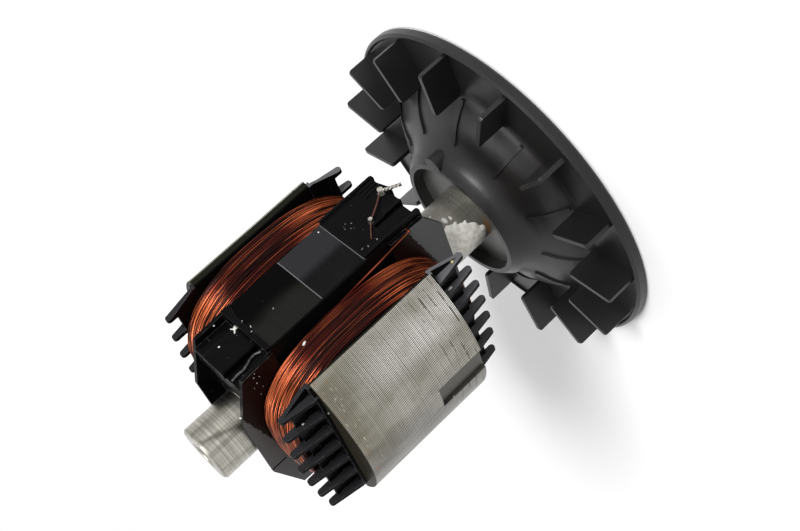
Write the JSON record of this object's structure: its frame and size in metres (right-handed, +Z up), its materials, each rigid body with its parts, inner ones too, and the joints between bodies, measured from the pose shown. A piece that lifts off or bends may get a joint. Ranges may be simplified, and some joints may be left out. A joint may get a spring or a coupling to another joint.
{
  "type": "generator rotor",
  "caption": "Two-pole wound rotor of a small portable generator, with laminated core, copper coils, combed end insulators and a moulded cooling fan.",
  "frame": {"origin": "on the shaft's axis, in the plane of the fan's rim on which the rotor stands", "axes": "+Z up the shaft from the fan to the free end; +X to the middle of the pole face with the cut notch; +Y to the tooth side with the soldered joints"},
  "size_m": [0.1382, 0.1382, 0.1462],
  "materials": {
    "lamination_steel": "satin",
    "turned_steel": "satin",
    "black_plastic": "gloss",
    "fan_plastic": "satin",
    "enamelled_copper": "gloss",
    "insulating_film": "satin",
    "tinned_metal": "satin"
  },
  "bodies": {
    "root": {"core_stack": "lamination_steel", "core_rivets": "turned_steel", "shaft": "turned_steel", "free_end_insulator": "black_plastic", "fan_end_insulator": "black_plastic", "near_coil": "enamelled_copper", "far_coil": "enamelled_copper", "near_front_liner": "insulating_film", "near_rear_liner": "insulating_film", "far_front_liner": "insulating_film", "far_rear_liner": "insulating_film", "tooth_film": "insulating_film", "free_end_diode": "black_plastic", "diode_lead": "black_plastic", "fan_end_diode": "black_plastic", "link_wire": "enamelled_copper", "twisted_lead_end": "tinned_metal", "upper_solder_joint": "tinned_metal", "lower_solder_joint": "tinned_metal", "near_coil_lead": "enamelled_copper", "fan": "fan_plastic"}
  },
  "joints": []
}
